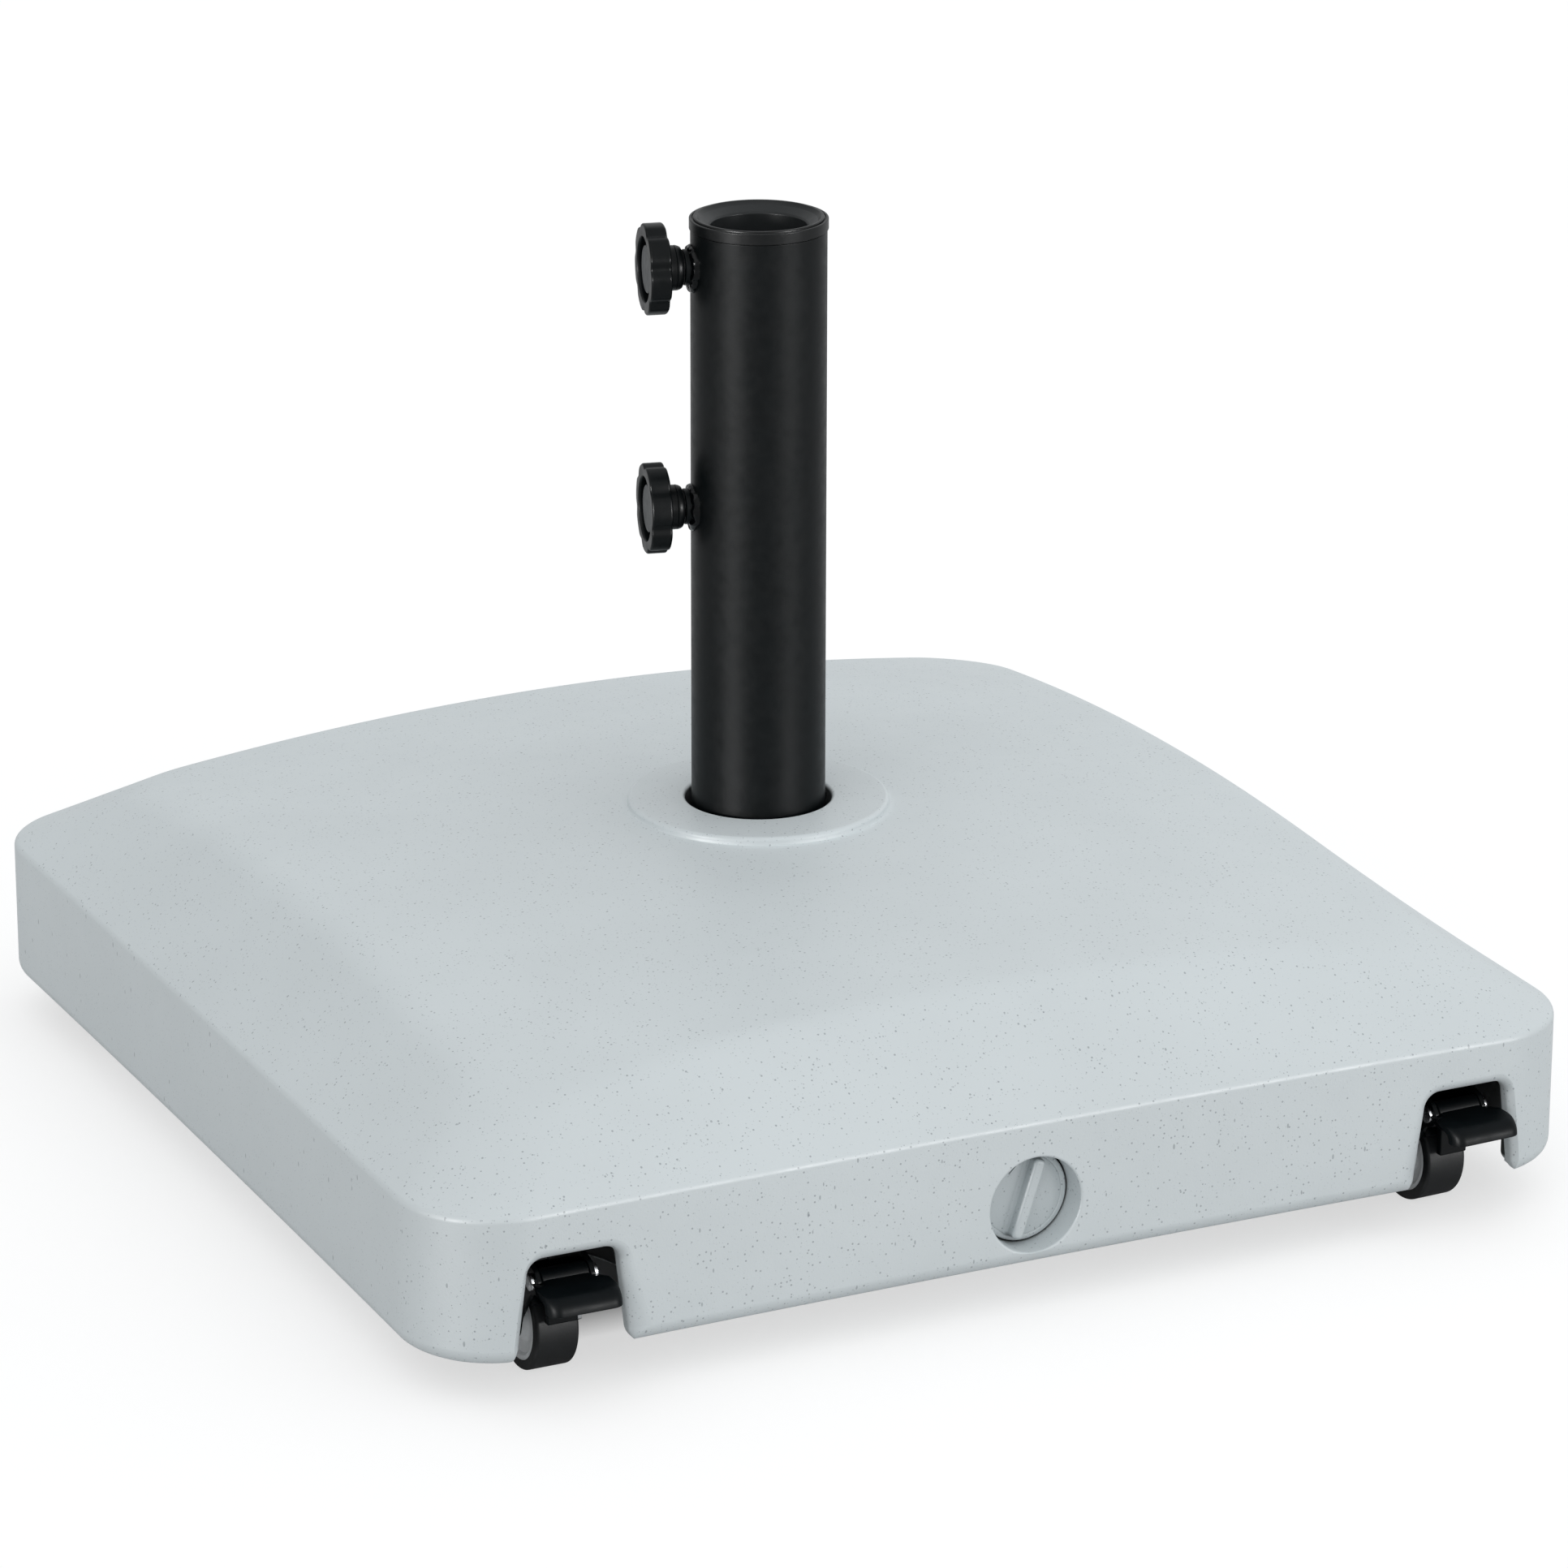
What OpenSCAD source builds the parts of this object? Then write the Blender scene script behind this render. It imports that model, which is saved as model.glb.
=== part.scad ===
// Weighted parasol base: a square fillable tank on four casters, with a clamping mast.
// Millimetres. Origin on the floor under the mast's axis, +Z up, the filler plug faces -Y.

/* [Tank] */
// Length of each side of the square tank
side = 500; // [490:1:520]
// Radius of the tank's upright corners
corner_r = 41; // [34:1:48]
// Gap between the floor and the tank's lower edge
lift = 17; // [15:0.5:19]
// Height of the upright wall at the corners
wall_h = 62.7; // [60:0.1:68]
// Height by which the wall's top and bottom edges arch up at mid-side
arch = 1.8; // [0:0.1:4]
// Height of the crown's middle above the lower edge
crown_h = 112.5; // [110:0.5:120]
// Width of the sloping border round the crown
border = 45; // [38:1:55]
// Thickness of the tank's skin
skin = 4; // [3:0.5:5]

/* [Mast] */
// Outside radius of the mast tube
mast_r = 27.6; // [27:0.1:28.5]
// Wall thickness of the mast tube
mast_t = 1.8; // [1.2:0.1:2.5]
// Height of the mast tube's upper end above the floor
mast_top = 372.8; // [368:0.2:400]
// Radius of the pole socket in the cap
socket_r = 19.5; // [16:0.1:21]
// Radius of the raised ring round the foot of the mast
collar_r = 54; // [50:0.5:60]
// Angle of the clamp knobs from the left side, turned towards the back
knob_turn = 13.5; // [0:0.5:45]
// Height of the upper clamp knob above the floor
knob_hi = 358.4; // [350:0.2:358.4]
// Height of the lower clamp knob above the floor
knob_lo = 258.4; // [200:0.2:300]

/* [Clamp knobs] */
// Radius over the lobes of a knob
knob_r = 18.5; // [16:0.1:20]
// Number of lobes round a knob
lobes = 7; // [6:1:8]
// Nominal radius of the clamp screw
screw_r = 4; // [3:0.5:4]

/* [Filler plug] */
// Height of the plug's centre above the tank's lower edge
plug_z = 27.2; // [26:0.1:30]
// Radius of the plug's recess
recess_r = 19.7; // [19:0.1:21]
// Lean of the plug's grip from upright
grip_lean = 18; // [0:1:90]

/* [Casters] */
// Distance of each swivel axis from the tank's centre planes
caster_at = 193.5; // [192:0.5:195]
// Radius of a wheel
wheel_r = 20; // [19:0.1:20]
// Width of a tyre
tyre_w = 17.6; // [16:0.1:18]
// Distance the wheel trails behind its swivel axis
trail = 19; // [17:0.5:20]
// Radius of the pocket each caster turns in
pocket_r = 47; // [46:0.5:48]
// Angle at which the front right caster stands, seen from above
front_right_turn = 2.5; // [-4:0.5:4]

/* [Hidden] */
$fn = 64;
eps = 0.05;
half = side / 2;
crease = half - border;            // half-size of the square where border and crown meet
crease_r = 32;                     // corner radius of that square
rim_round = 3;                     // rounding between wall and border
foot_round = 7;                    // rounding under the wall
floor_up = 2;                      // flat underside above the wall's lower edge
dome_side = 10.6;                  // fall of the crown at mid-crease
dome_corner = 5.8;                 // further fall towards the corners
collar_top = lift + crown_h + 3;
well_r = 30.2;                     // hole the mast stands in
arc_n = 6;                         // steps per corner and per side of the faceted skin
side_n = 8;
ceil_z = lift + 43;                // ceiling of the caster pockets
plug_h = lift + plug_z;
neck_r = 15;                       // threaded neck behind the plug's recess
seat_in = 16.5;                    // depth of the ledge the plug's seal rests on
neck_in = 40;                      // depth of the neck's inner end

// screws and the bosses that hold them
boss_at = 17.5;                    // caster screws, from the swivel axis
boss_r = 6;
plate_screw_r = 2;
flange_at = 36;                    // mast flange screws, from the mast's axis
post_r = 8;
flange_screw_r = 3;
pilot = 0.1;                       // gap between a screw and its hole
flange_w = 100;
flange_t = 3;
recess_up = 6;                     // depth of the recess under the tank for the flange
flange_z = lift + floor_up + recess_up;

// clamp hardware, distances from the mast's axis
nut_r = 7.3;
nut_end = 31.3;
hub_in = 32;
head_in = 38.7;
head_out = 47.3;
tip_at = 19.6;
screw_end = 44;
thread_gap = 0.05;

// wheel, fork and brake, in a caster's own frame (swivel axis upright, wheel towards -Y)
plate_t = 2.2;
race_z = ceil_z - 5;               // underside of the plate's pressed race
head_z = race_z - 0.1;             // top of the fork's head
leg_in = 10;                       // inner face of each fork leg
leg_t = 2;
axle_r = 3;
pin_r = 2;
pin_y = -42.5;                     // brake pivot
pin_z = lift + 28;
pedal_reach = -68.5;
pedal_w = 15;

// Sub-part to draw, or all of them

SKIN = [0.80, 0.83, 0.84];
BLACK = [0.06, 0.06, 0.07];
GREY = [0.62, 0.64, 0.65];
STEEL = [0.70, 0.71, 0.72];

// ---------- square rings that build the tank's skin ----------
ring_n = 4 * (arc_n + side_n);

// point k of a rounded square of half-size a and corner radius c
function ring_pt(a, c, k) =
    let (q = floor(k / (arc_n + side_n)), j = k % (arc_n + side_n), m = a - c,
         p = j <= arc_n ? [m + c * cos(90 * j / arc_n), m + c * sin(90 * j / arc_n)]
                        : [m - 2 * m * (j - arc_n) / side_n, a])
    [p[0] * cos(90 * q) - p[1] * sin(90 * q), p[0] * sin(90 * q) + p[1] * cos(90 * q)];

function bow(p) = arch * (1 - pow(min(abs(p[0]), abs(p[1])) / half, 2));
function dome(p) = let (u = pow(p[0] / crease, 2), v = pow(p[1] / crease, 2))
    lift + crown_h - dome_side * (u + v) - dome_corner * u * v;

// a ring that follows the arched edge, z above the tank's lower edge
function edge_ring(a, c, z) = [for (k = [0:ring_n - 1])
    let (p = ring_pt(a, c, k)) [p[0], p[1], lift + z + bow(p)]];
// a ring on the crown, down below its surface
function dome_ring(a, c, down = 0) = [for (k = [0:ring_n - 1])
    let (p = ring_pt(a, c, k)) [p[0], p[1], dome(p) - down]];
function flat_ring(a, c, z) = [for (k = [0:ring_n - 1])
    let (p = ring_pt(a, c, k)) [p[0], p[1], z]];
// share t of the way from ring p to ring q
function blend(p, q, t) = [for (k = [0:ring_n - 1]) p[k] + (q[k] - p[k]) * t];

// closed solid through a stack of rings, lowest first
module stack_rings(rings) {
    last = len(rings) - 1;
    mid = function (r) [0, 0, r[0][2]];
    pts = concat([for (r = rings) each r], [mid(rings[0])], [mid(rings[last])]);
    lo = ring_n * len(rings);
    walls = [for (i = [0:last - 1], k = [0:ring_n - 1]) let (n = (k + 1) % ring_n,
        a = i * ring_n + k, b = i * ring_n + n, c = a + ring_n, d = b + ring_n) each [[a, c, b], [b, c, d]]];
    caps = [for (k = [0:ring_n - 1]) let (n = (k + 1) % ring_n)
        each [[lo, k, n], [lo + 1, last * ring_n + n, last * ring_n + k]]];
    polyhedron(points = pts, faces = concat(walls, caps));
}

module tank_skin() {
    rim = edge_ring(half - rim_round, corner_r - rim_round, wall_h);
    fold = dome_ring(crease, crease_r);
    stack_rings([
        flat_ring(half - 24, 24, lift + floor_up),
        edge_ring(half - foot_round, corner_r - foot_round, 0),
        edge_ring(half - foot_round * 0.3, corner_r - foot_round * 0.3, foot_round * 0.3),
        edge_ring(half - 0.4, corner_r - 0.4, foot_round),
        edge_ring(half, corner_r, wall_h - rim_round),
        edge_ring(half - rim_round * 0.3, corner_r - rim_round * 0.3, wall_h - rim_round * 0.45),
        blend(rim, fold, 0.0),
        blend(rim, fold, 0.5),
        blend(rim, fold, 0.95),
        dome_ring(crease - 3, crease_r),
        dome_ring(crease - 25, 40),
        dome_ring(crease - 60, 55),
        dome_ring(crease - 100, 60),
        dome_ring(collar_r + 14, collar_r),
        dome_ring(collar_r - 4, collar_r - 4)
    ]);
}

module tank_cavity() {
    c = corner_r - skin;
    stack_rings([
        flat_ring(half - skin - 4, c - 4, lift + floor_up + skin),
        flat_ring(half - skin, c, lift + foot_round + skin),
        edge_ring(half - skin, c, wall_h - rim_round),
        dome_ring(crease - 1, crease_r, skin + 1),
        dome_ring(crease - 70, 55, skin),
        dome_ring(collar_r, collar_r, skin)
    ]);
}

// puts its children at each caster's swivel axis
module at_casters(front = true, rear = true) {
    for (x = [-1, 1], y = [-1, 1]) if ((y < 0 && front) || (y > 0 && rear))
        translate([x * caster_at, y * caster_at, 0]) children();
}

// outline of the notch a brake pedal reaches through, centred, grown by g
module notch_outline(g = 0) {
    top = lift + 42 + g;
    w = 19 + g;
    slope = 0.1;
    flare = 10;
    r = 6.5 + g;
    foot = w + slope * (top - lift - flare);
    polygon(concat(
        [for (a = [90:-15:0]) [w - r + r * cos(a), top - r + r * sin(a)]],
        [for (a = [180:15:270]) [foot + flare + flare * cos(a), lift + flare + flare * sin(a)]],
        [[foot + flare, lift - 3], [-foot - flare, lift - 3]],
        [for (a = [270:15:360]) [-foot - flare + flare * cos(a), lift + flare + flare * sin(a)]],
        [for (a = [180:-15:90]) [-w + r + r * cos(a), top - r + r * sin(a)]]));
}
module notch(g = 0, y0 = 0) {
    for (x = [-1, 1]) translate([x * caster_at, -half - 1 + y0, 0])
        rotate([90, 0, 0]) mirror([0, 0, 1]) linear_extrude(40 - y0) notch_outline(g);
}

// solids inside the hollow tank that keep its pockets, well and neck closed
module tank_inside() {
    at_casters() cylinder(r = pocket_r + skin, h = ceil_z + skin);
    at_casters() for (x = [-1, 1], y = [-1, 1])
        translate([x * boss_at, y * boss_at, ceil_z]) cylinder(r = boss_r, h = 20);
    notch(skin, skin - 2);
    cylinder(r = well_r + skin, h = collar_top);
    for (x = [-1, 1], y = [-1, 1])
        translate([x * flange_at, y * flange_at, lift]) cylinder(r = post_r, h = 32);
    flange_block(5, lift, flange_z + skin);
    translate([0, -half + skin / 2, plug_h]) rotate([-90, 0, 0]) cylinder(r = recess_r + skin, h = 32);
}

// square block round the mast flange, g wider on each side
module flange_block(g, z0, z1) {
    w = flange_w + 2 * g;
    translate([-w / 2, -w / 2, z0]) cube([w, w, z1 - z0]);
}

module tank_cuts() {
    at_casters() translate([0, 0, -1]) cylinder(r = pocket_r, h = ceil_z + 1, $fn = 96);
    notch();
    at_casters() for (x = [-1, 1], y = [-1, 1]) translate([x * boss_at, y * boss_at, ceil_z - 1])
        cylinder(r = plate_screw_r + pilot, h = 15, $fn = 32);
    translate([0, 0, lift - 1]) cylinder(r = well_r, h = 150, $fn = 96);
    for (x = [-1, 1], y = [-1, 1]) translate([x * flange_at, y * flange_at, flange_z - 1])
        cylinder(r = flange_screw_r + pilot, h = 19, $fn = 32);
    flange_block(1, lift - 1, flange_z);
    translate([0, -half - 1, plug_h]) rotate([-90, 0, 0]) cylinder(r = recess_r, h = seat_in + 1, $fn = 96);
    translate([0, -half, plug_h]) rotate([-90, 0, 0]) cylinder(r = neck_r, h = neck_in, $fn = 96);
}

module tank() {
    color(SKIN) difference() {
        union() {
            tank_skin();
            rotate_extrude($fn = 96) polygon([[0, collar_top - 8], [collar_r, collar_top - 8],
                [collar_r, collar_top - 2], [collar_r - 0.6, collar_top - 0.6], [collar_r - 2, collar_top],
                [0, collar_top]]);
        }
        difference() {
            tank_cavity();
            tank_inside();
        }
        tank_cuts();
    }
}

// ---------- mast ----------
// puts its children at a knob's height, +Z pointing out along the clamp screw
module at_knob(z) translate([0, 0, z]) rotate([0, 0, 180 - knob_turn]) rotate([0, 90, 0]) children();

module mast_tube() {
    color(BLACK) difference() {
        translate([0, 0, flange_z]) cylinder(r = mast_r, h = mast_top - flange_z, $fn = 96);
        translate([0, 0, flange_z - 1]) cylinder(r = mast_r - mast_t, h = mast_top, $fn = 96);
        for (z = [knob_hi, knob_lo]) at_knob(z) cylinder(r = screw_r + 0.6, h = mast_r + 10);
    }
}

module mast_flange() {
    color(BLACK) difference() {
        translate([0, 0, flange_z - flange_t]) linear_extrude(flange_t) rounded_square(flange_w / 2, 6);
        for (x = [-1, 1], y = [-1, 1]) translate([x * flange_at, y * flange_at, 0])
            cylinder(r = flange_screw_r + 0.6, h = flange_z + 1, $fn = 32);
        translate([0, 0, -1]) cylinder(r = 6, h = flange_z + 2, $fn = 48);
    }
}
module rounded_square(a, r) {
    polygon([for (q = [0:3], t = [0:15:90]) [
        (a - r) * (q == 0 || q == 3 ? 1 : -1) + r * cos(90 * q + t),
        (a - r) * (q < 2 ? 1 : -1) + r * sin(90 * q + t)]]);
}

// pan-head screw, head down, shank up from z = 0
module screw(shank_r, shank_l, head_r, head_h) {
    cylinder(r = shank_r, h = shank_l, $fn = 32);
    difference() {
        translate([0, 0, -head_h]) cylinder(r1 = head_r * 0.8, r2 = head_r, h = head_h, $fn = 32);
        translate([0, 0, -head_h - 1]) for (a = [0, 90]) rotate([0, 0, a])
            translate([-head_r * 0.5, -0.6, 0]) cube([head_r, 1.2, head_h * 0.5 + 1]);
    }
}
module flange_screws() {
    color(STEEL) for (x = [-1, 1], y = [-1, 1])
        translate([x * flange_at, y * flange_at, flange_z - flange_t]) screw(flange_screw_r, 19, 6, 3);
}

// the mast's outside, seen from a clamp's frame
module mast_there() rotate([0, 90, 0]) translate([0, 0, -40]) cylinder(r = mast_r, h = 80, $fn = 96);

module clamp_nuts() {
    color(BLACK) for (z = [knob_hi, knob_lo]) at_knob(z) difference() {
        cylinder(r = nut_r, h = nut_end);
        mast_there();
        cylinder(r = screw_r + thread_gap, h = nut_end + 1);
    }
}
module weld_beads() {
    inner = nut_r + 0.02;
    bead = 2.6;                    // width of a bead
    color(BLACK) for (z = [knob_hi, knob_lo]) at_knob(z) difference() {
        rotate_extrude() polygon([[inner, 20], [inner + bead, 20], [inner + bead, 27.4],
            [inner + bead - 0.5, 28.6], [inner + bead - 1.4, 29.4], [inner, 29.8]]);
        mast_there();
    }
}

module mast_cap() {
    skirt = mast_r - mast_t - 0.1;
    skirt_h = 9.6;
    color(BLACK) translate([0, 0, mast_top]) rotate_extrude($fn = 96) polygon([
        [socket_r, -skirt_h], [skirt, -skirt_h], [skirt, 0], [mast_r + 0.6, 0], [mast_r + 0.6, 4.4],
        [mast_r + 0.2, 4.8], [mast_r - 0.8, 4.8], [mast_r - 1.3, 5.4], [mast_r - 2.8, 5.4],
        [mast_r - 3.4, 5.0], [socket_r + 0.4, 2], [socket_r, 1.4]]);
}

// ---------- clamp knobs ----------
module clamp_screw() {
    bevel = 0.8;
    translate([0, 0, tip_at]) cylinder(r1 = screw_r - bevel, r2 = screw_r, h = bevel);
    translate([0, 0, tip_at + bevel]) cylinder(r = screw_r, h = screw_end - tip_at - bevel);
}
// radius over the head at angle a: broad lobes with short hollows between
function lobe_at(a) = knob_r - 1.2 * pow(0.5 + 0.5 * cos(lobes * a), 3);
module knob_head() {
    hub_r = 9.1;
    groove_r = 13.2;
    difference() {
        union() {
            translate([0, 0, hub_in]) cylinder(r1 = hub_r - 0.8, r2 = hub_r, h = 1);
            translate([0, 0, hub_in + 1]) cylinder(r = hub_r, h = head_in - hub_in);
            translate([0, 0, head_in]) linear_extrude(head_out - head_in)
                polygon([for (a = [0:3:357]) lobe_at(a) * [cos(a), sin(a)]]);
        }
        translate([0, 0, hub_in - 1]) cylinder(r = screw_r + thread_gap, h = screw_end - hub_in + 1.1);
        translate([0, 0, head_out - 4.5]) difference() {
            cylinder(r = groove_r, h = 5);
            translate([0, 0, -1]) cylinder(r = disc_r + 0.1, h = 7);
        }
        translate([0, 0, head_out - disc_in]) cylinder(r = groove_r, h = 5);
    }
}
// flat disc let into the middle of a knob
disc_r = 9.7;
disc_in = 2;
module knob_face() translate([0, 0, head_out - disc_in]) cylinder(r1 = disc_r, r2 = disc_r - 0.5, h = 0.8);

module screw_upper() color(STEEL) at_knob(knob_hi) clamp_screw();
module knob_upper() color(BLACK) at_knob(knob_hi) rotate([0, 0, 12]) knob_head();
module knob_upper_face() color(GREY) at_knob(knob_hi) knob_face();
module screw_lower() color(STEEL) at_knob(knob_lo) clamp_screw();
module knob_lower() color(BLACK) at_knob(knob_lo) rotate([0, 0, 26]) knob_head();
module knob_lower_face() color(GREY) at_knob(knob_lo) knob_face();

// ---------- filler plug ----------
module at_plug() translate([0, -half, plug_h]) rotate([-90, 0, 0]) children();

module plug_seal() {
    color(BLACK) at_plug() translate([0, 0, seat_in - 1.5]) difference() {
        cylinder(r = recess_r - 0.9, h = 1.5, $fn = 96);
        translate([0, 0, -1]) cylinder(r = neck_r, h = 4, $fn = 96);
    }
}
module plug() {
    face = seat_in - 5;            // depth of the plug's outer face
    color(SKIN) at_plug() difference() {
        union() {
            translate([0, 0, face]) cylinder(r = recess_r - 0.6, h = 3.5, $fn = 96);
            translate([0, 0, face + 1]) cylinder(r = neck_r - 0.06, h = 19, $fn = 96);
            rotate([0, 0, grip_lean]) translate([-2.5, -16.5, face - 6]) cube([5, 33, 7]);
        }
        translate([0, 0, face + 5]) cylinder(r = neck_r - 3, h = 20);
    }
}

// ---------- casters ----------
module caster_plates() {
    color(BLACK) at_casters() difference() {
        union() {
            translate([0, 0, ceil_z - plate_t]) linear_extrude(plate_t) rounded_square(24, 5);
            translate([0, 0, race_z]) cylinder(r1 = 14, r2 = 17, h = ceil_z - plate_t - race_z + eps);
        }
        translate([0, 0, race_z - 1]) cylinder(r = 4, h = 10);
        for (x = [-1, 1], y = [-1, 1]) translate([x * boss_at, y * boss_at, ceil_z - 5])
            cylinder(r = 2.6, h = 6, $fn = 32);
    }
}
module plate_screws() {
    color(STEEL) at_casters() for (x = [-1, 1], y = [-1, 1])
        translate([x * boss_at, y * boss_at, ceil_z - plate_t]) screw(plate_screw_r, 15, 4.2, 2.4);
}
module kingpins() {
    color(STEEL) at_casters() {
        translate([0, 0, head_z - 5.6]) cylinder(r1 = 5, r2 = 6.5, h = 2);
        translate([0, 0, head_z - 3.65]) cylinder(r = 3.9, h = ceil_z - head_z + 3.4);
    }
}

// flat cheek shapes in the YZ plane, joined by the fork's head
module leg_outline(braked) {
    difference() {
        union() {
            polygon(concat(
                [[10, head_z], [-24, head_z]],
                braked ? [[-44, pin_z + 5], [-47.5, pin_z + 1], [-46, pin_z - 4], [-40, pin_z - 6]]
                       : [[-29, head_z - 3], [-31, pin_z - 2]],
                [[-27, wheel_r + 2], [-11.5, wheel_r + 1], [-8, wheel_r + 14], [10, head_z - 9]]));
            translate([-trail, wheel_r]) circle(r = 8);
        }
        translate([-trail, wheel_r]) circle(r = axle_r + 0.08);
        if (braked) translate([pin_y, pin_z]) circle(r = pin_r + 0.05);
    }
}
module fork(braked) {
    color(BLACK) {
        difference() {
            union() {
                for (x = [-leg_in - leg_t, leg_in])
                    translate([x, 0, 0]) rotate([90, 0, 90]) linear_extrude(leg_t) leg_outline(braked);
                translate([-leg_in - leg_t, -30, head_z - 3]) cube([2 * (leg_in + leg_t), 40, 3]);
                translate([0, 0, head_z - 3]) cylinder(r = 17, h = 3);
            }
            translate([0, 0, head_z - 5]) cylinder(r = 4, h = 10);
        }
    }
}
module axle() {
    color(STEEL) translate([0, -trail, wheel_r]) rotate([0, 90, 0]) {
        translate([0, 0, -leg_in - leg_t - 3.2]) cylinder(r1 = 4, r2 = 5.4, h = 3.15);
        translate([0, 0, -leg_in - leg_t - 0.1]) cylinder(r = axle_r, h = 2 * (leg_in + leg_t) + 5.6);
    }
}
module axle_nut() {
    color(STEEL) translate([0, -trail, wheel_r]) rotate([0, 90, 0])
        translate([0, 0, leg_in + leg_t + 0.05]) difference() {
            cylinder(r = 5.6, h = 4.4, $fn = 6);
            translate([0, 0, -1]) cylinder(r = axle_r + 0.03, h = 7, $fn = 32);
        }
}
module hub() {
    rim = wheel_r - 4;
    color(GREY) translate([0, -trail, wheel_r]) rotate([0, 90, 0]) rotate_extrude($fn = 96) {
        polygon([[axle_r + 0.06, -9.7], [7, -9.7], [7.6, -9.1], [7.6, -5.5], [rim - 2, -5.5],
            [rim - 1.4, -tyre_w / 2 + 0.2], [rim, -tyre_w / 2 + 0.2], [rim, tyre_w / 2 - 0.2],
            [rim - 1.4, tyre_w / 2 - 0.2], [rim - 2, 5.5], [7.6, 5.5], [7.6, 9.1], [7, 9.7],
            [axle_r + 0.06, 9.7]]);
    }
}
module tyre() {
    w = tyre_w / 2;
    color(BLACK) translate([0, -trail, wheel_r]) rotate([0, 90, 0]) rotate_extrude($fn = 96)
        polygon([[wheel_r - 3.98, -w], [wheel_r - 1.8, -w], [wheel_r - 0.6, -w + 0.6],
            [wheel_r - 0.1, -w + 1.6], [wheel_r, -w + 3.5], [wheel_r, w - 3.5], [wheel_r - 0.1, w - 1.6],
            [wheel_r - 0.6, w - 0.6], [wheel_r - 1.8, w], [wheel_r - 3.98, w]]);
}
module brake_pin() {
    color(STEEL) translate([0, pin_y, pin_z]) rotate([0, 90, 0]) {
        for (s = [-1, 1]) translate([0, 0, s * (leg_in + leg_t + 0.85)])
            cylinder(r = 3.2, h = 1.5, center = true);
        cylinder(r = pin_r, h = 2 * (leg_in + leg_t) + 0.4, center = true);
    }
}
module brake() {
    top = lift + 29.6;
    lip = 6.3;                     // height of the pedal's rolled lip
    bend = 3.4;                    // inside radius of the roll
    color(BLACK) difference() {
        union() {
            translate([-9.7, pin_y, pin_z]) rotate([0, 90, 0]) cylinder(r = 4.4, h = 19.4);
            translate([-6.2, pin_y - 0.5, lift + 9]) cube([12.4, 3, 19]);
            // pedal plate with a rolled front lip, drawn from the side
            intersection() {
                translate([-pedal_w, 0, 0]) rotate([90, 0, 90]) linear_extrude(2 * pedal_w) polygon(concat(
                    [[pin_y, top], [pin_y, top - 2.6], [-62, top - 2.6]],
                    [for (a = [80:-20:0]) [-62.5 - bend * cos(a), top - 6 + bend * sin(a)]],
                    [[-62.5 - bend, top - lip], [pedal_reach, top - lip]],
                    [for (a = [0:15:90]) [-62.5 - 6 * cos(a), top - 6 + 6 * sin(a)]]));
                translate([0, 0, lift]) linear_extrude(60) polygon(concat(
                    [[-9.7, pin_y + 5], [-9.7, -49.5], [-pedal_w, -51]],
                    [for (a = [180:15:270]) [-pedal_w + 4 + 4 * cos(a), pedal_reach + 4 + 4 * sin(a)]],
                    [for (a = [270:15:360]) [pedal_w - 4 + 4 * cos(a), pedal_reach + 4 + 4 * sin(a)]],
                    [[pedal_w, -51], [9.7, -49.5], [9.7, pin_y + 5]]));
            }
        }
        translate([-12, pin_y, pin_z]) rotate([0, 90, 0]) cylinder(r = pin_r + 0.06, h = 24);
    }
}

// puts its children at one caster's swivel axis, turned about it
module place(x, y, turn = 0) translate([x * caster_at, y * caster_at, 0]) rotate([0, 0, turn]) children();

module fork_fl() place(-1, -1) fork(true);
module axle_fl() place(-1, -1) axle();
module nut_fl() place(-1, -1) axle_nut();
module hub_fl() place(-1, -1) hub();
module tyre_fl() place(-1, -1) tyre();
module brake_pin_fl() place(-1, -1) brake_pin();
module brake_fl() place(-1, -1) brake();
module fork_fr() place(1, -1, front_right_turn) fork(true);
module axle_fr() place(1, -1, front_right_turn) axle();
module nut_fr() place(1, -1, front_right_turn) axle_nut();
module hub_fr() place(1, -1, front_right_turn) hub();
module tyre_fr() place(1, -1, front_right_turn) tyre();
module brake_pin_fr() place(1, -1, front_right_turn) brake_pin();
module brake_fr() place(1, -1, front_right_turn) brake();
module fork_rl() place(-1, 1) fork(false);
module axle_rl() place(-1, 1) axle();
module nut_rl() place(-1, 1) axle_nut();
module hub_rl() place(-1, 1) hub();
module tyre_rl() place(-1, 1) tyre();
module fork_rr() place(1, 1) fork(false);
module axle_rr() place(1, 1) axle();
module nut_rr() place(1, 1) axle_nut();
module hub_rr() place(1, 1) hub();
module tyre_rr() place(1, 1) tyre();

tank();
mast_tube();
mast_flange();
flange_screws();
clamp_nuts();
weld_beads();
mast_cap();
plug_seal();
plug();
screw_upper();
knob_upper();
knob_upper_face();
screw_lower();
knob_lower();
knob_lower_face();
caster_plates();
plate_screws();
kingpins();
fork_fl();
axle_fl();
nut_fl();
hub_fl();
tyre_fl();
brake_pin_fl();
brake_fl();
fork_fr();
axle_fr();
nut_fr();
hub_fr();
tyre_fr();
brake_pin_fr();
brake_fr();
fork_rl();
axle_rl();
nut_rl();
hub_rl();
tyre_rl();
fork_rr();
axle_rr();
nut_rr();
hub_rr();
tyre_rr();
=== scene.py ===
"""The looks of a parasol base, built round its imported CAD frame.

Lengths are in millimetres and angles in degrees, unless a comment says otherwise; to_mesh() turns
millimetres into metres. Z is up from the floor, the mast stands on the Z axis, and -Y is the front.
"""
import math

import bmesh
import bpy
from mathutils import Matrix, Vector, noise


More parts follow.
